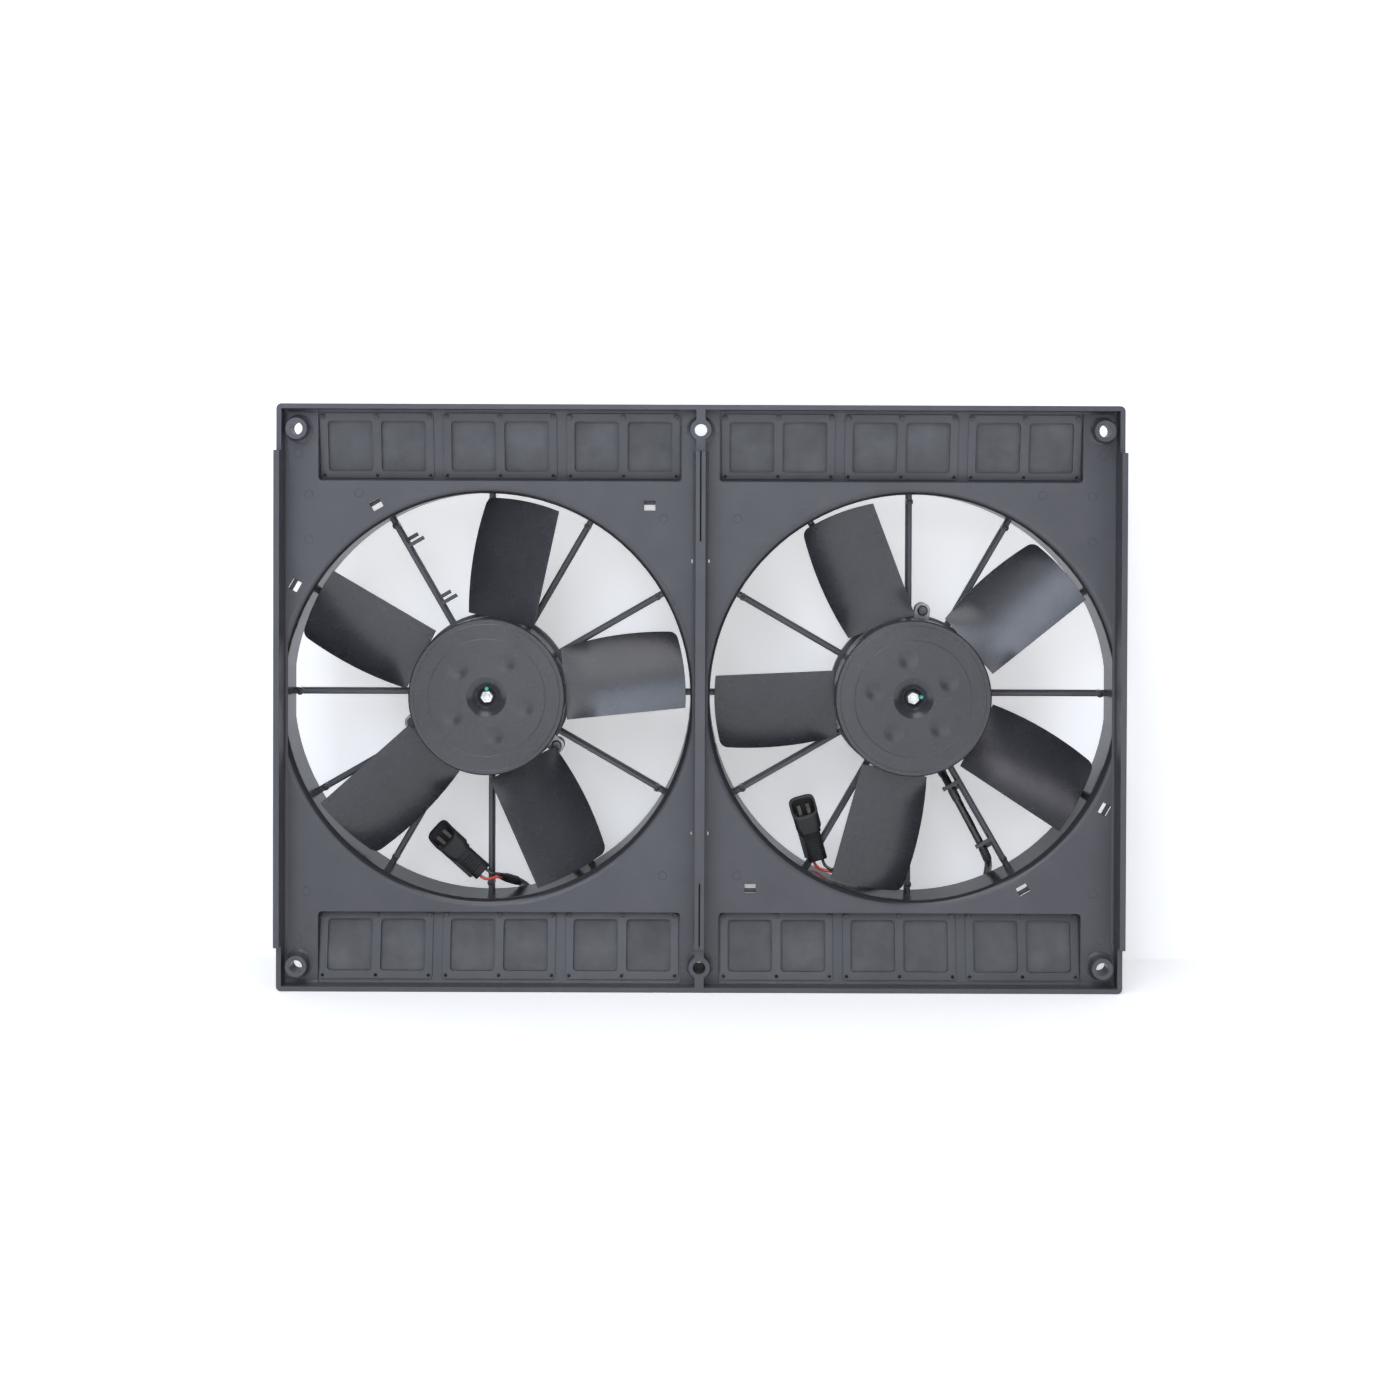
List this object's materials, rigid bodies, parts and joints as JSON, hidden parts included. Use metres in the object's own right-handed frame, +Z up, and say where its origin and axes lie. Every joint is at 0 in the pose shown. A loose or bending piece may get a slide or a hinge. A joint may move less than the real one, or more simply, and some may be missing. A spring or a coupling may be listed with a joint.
{
  "type": "radiator fan shroud",
  "caption": "Moulded radiator shroud with twin throats, spoked motor carriers, five-bladed electric fans, rubber relief flaps and clipped sealed leads.",
  "frame": {"origin": "centre of the corner bolt pattern, on the plane of the bolt boss faces and the rim", "axes": "+X to the right along the module, +Y from the radiator side to the engine side, +Z up"},
  "size_m": [0.645, 0.1235, 0.448],
  "materials": {
    "shroud_plastic": "moulded black nylon with a fine satin texture",
    "fan_plastic": "satin black moulded nylon",
    "flap_rubber": "matt black rubber sheet",
    "zinc_steel": "zinc plated",
    "can_steel": "black painted drawn steel",
    "bell_metal": "die-cast, as cast",
    "magnet": "ferrite, dull",
    "lamination": "stacked electrical steel",
    "copper": "enamelled copper wire",
    "bronze": "sintered bronze",
    "carbon": "carbon",
    "holder_plastic": "brown phenolic",
    "sleeve_plastic": "corrugated black tube",
    "wire_red": "red insulation",
    "wire_black": "black insulation",
    "connector_plastic": "satin black plastic",
    "terminal": "tin plated brass",
    "seal_rubber": "grey silicone"
  },
  "bodies": {
    "shroud": {"shroud_moulding": "shroud_plastic", "flap_strips": "flap_rubber", "left_motor_can": "can_steel", "left_motor_bell": "bell_metal", "left_motor_screws": "zinc_steel", "left_motor_magnets": "magnet", "left_brushes": "carbon", "left_brush_holder": "holder_plastic", "left_front_bearing": "bronze", "left_rear_bearing": "bronze", "left_motor_grommet": "flap_rubber", "left_connector_housing": "connector_plastic", "left_connector_terminals": "terminal", "left_connector_seal": "seal_rubber", "left_lead_sleeve": "sleeve_plastic", "left_wire_red": "wire_red", "left_wire_black": "wire_black", "right_motor_can": "can_steel", "right_motor_bell": "bell_metal", "right_motor_screws": "zinc_steel", "right_motor_magnets": "magnet", "right_brushes": "carbon", "right_brush_holder": "holder_plastic", "right_front_bearing": "bronze", "right_rear_bearing": "bronze", "right_motor_grommet": "flap_rubber", "right_connector_housing": "connector_plastic", "right_connector_terminals": "terminal", "right_connector_seal": "seal_rubber", "right_lead_sleeve": "sleeve_plastic", "right_wire_red": "wire_red", "right_wire_black": "wire_black"},
    "left_rotor": {"left_fan": "fan_plastic", "left_fan_nut": "zinc_steel", "left_motor_shaft": "zinc_steel", "left_armature_core": "lamination", "left_armature_winding": "copper", "left_commutator": "copper"},
    "right_rotor": {"right_fan": "fan_plastic", "right_fan_nut": "zinc_steel", "right_motor_shaft": "zinc_steel", "right_armature_core": "lamination", "right_armature_winding": "copper", "right_commutator": "copper"},
    "flap_top_1": {"flap_top_1": "flap_rubber"},
    "flap_top_2": {"flap_top_2": "flap_rubber"},
    "flap_top_3": {"flap_top_3": "flap_rubber"},
    "flap_top_4": {"flap_top_4": "flap_rubber"},
    "flap_top_5": {"flap_top_5": "flap_rubber"},
    "flap_top_6": {"flap_top_6": "flap_rubber"},
    "flap_bottom_1": {"flap_bottom_1": "flap_rubber"},
    "flap_bottom_2": {"flap_bottom_2": "flap_rubber"},
    "flap_bottom_3": {"flap_bottom_3": "flap_rubber"},
    "flap_bottom_4": {"flap_bottom_4": "flap_rubber"},
    "flap_bottom_5": {"flap_bottom_5": "flap_rubber"},
    "flap_bottom_6": {"flap_bottom_6": "flap_rubber"}
  },
  "joints": [
    {"name": "left_fan_spin", "type": "hinge", "parent": "shroud", "child": "left_rotor", "pos_m": [-0.1635, 0.05, 0], "axis": [0, 1, 0], "continuous": true},
    {"name": "right_fan_spin", "type": "hinge", "parent": "shroud", "child": "right_rotor", "pos_m": [0.1635, 0.05, 0], "axis": [0, 1, 0], "continuous": true},
    {"name": "flap_top_1_hinge", "type": "hinge", "parent": "shroud", "child": "flap_top_1", "pos_m": [-0.2487, 0.02139, 0.21064], "axis": [1, 0, 0], "range_deg": [0, 55], "stiffness_Nm_per_rad": 0.012},
    {"name": "flap_top_2_hinge", "type": "hinge", "parent": "shroud", "child": "flap_top_2", "pos_m": [-0.1541, 0.02139, 0.21064], "axis": [1, 0, 0], "range_deg": [0, 55], "stiffness_Nm_per_rad": 0.012},
    {"name": "flap_top_3_hinge", "type": "hinge", "parent": "shroud", "child": "flap_top_3", "pos_m": [-0.0595, 0.02139, 0.21064], "axis": [1, 0, 0], "range_deg": [0, 55], "stiffness_Nm_per_rad": 0.012},
    {"name": "flap_top_4_hinge", "type": "hinge", "parent": "shroud", "child": "flap_top_4", "pos_m": [0.0595, 0.02139, 0.21064], "axis": [1, 0, 0], "range_deg": [0, 55], "stiffness_Nm_per_rad": 0.012},
    {"name": "flap_top_5_hinge", "type": "hinge", "parent": "shroud", "child": "flap_top_5", "pos_m": [0.1541, 0.02139, 0.21064], "axis": [1, 0, 0], "range_deg": [0, 55], "stiffness_Nm_per_rad": 0.012},
    {"name": "flap_top_6_hinge", "type": "hinge", "parent": "shroud", "child": "flap_top_6", "pos_m": [0.2487, 0.02139, 0.21064], "axis": [1, 0, 0], "range_deg": [0, 55], "stiffness_Nm_per_rad": 0.012},
    {"name": "flap_bottom_1_hinge", "type": "hinge", "parent": "shroud", "child": "flap_bottom_1", "pos_m": [-0.2487, 0.02881, -0.17367], "axis": [1, 0, 0], "range_deg": [0, 55], "stiffness_Nm_per_rad": 0.012},
    {"name": "flap_bottom_2_hinge", "type": "hinge", "parent": "shroud", "child": "flap_bottom_2", "pos_m": [-0.1541, 0.02881, -0.17367], "axis": [1, 0, 0], "range_deg": [0, 55], "stiffness_Nm_per_rad": 0.012},
    {"name": "flap_bottom_3_hinge", "type": "hinge", "parent": "shroud", "child": "flap_bottom_3", "pos_m": [-0.0595, 0.02881, -0.17367], "axis": [1, 0, 0], "range_deg": [0, 55], "stiffness_Nm_per_rad": 0.012},
    {"name": "flap_bottom_4_hinge", "type": "hinge", "parent": "shroud", "child": "flap_bottom_4", "pos_m": [0.0595, 0.02881, -0.17367], "axis": [1, 0, 0], "range_deg": [0, 55], "stiffness_Nm_per_rad": 0.012},
    {"name": "flap_bottom_5_hinge", "type": "hinge", "parent": "shroud", "child": "flap_bottom_5", "pos_m": [0.1541, 0.02881, -0.17367], "axis": [1, 0, 0], "range_deg": [0, 55], "stiffness_Nm_per_rad": 0.012},
    {"name": "flap_bottom_6_hinge", "type": "hinge", "parent": "shroud", "child": "flap_bottom_6", "pos_m": [0.2487, 0.02881, -0.17367], "axis": [1, 0, 0], "range_deg": [0, 55], "stiffness_Nm_per_rad": 0.012}
  ]
}
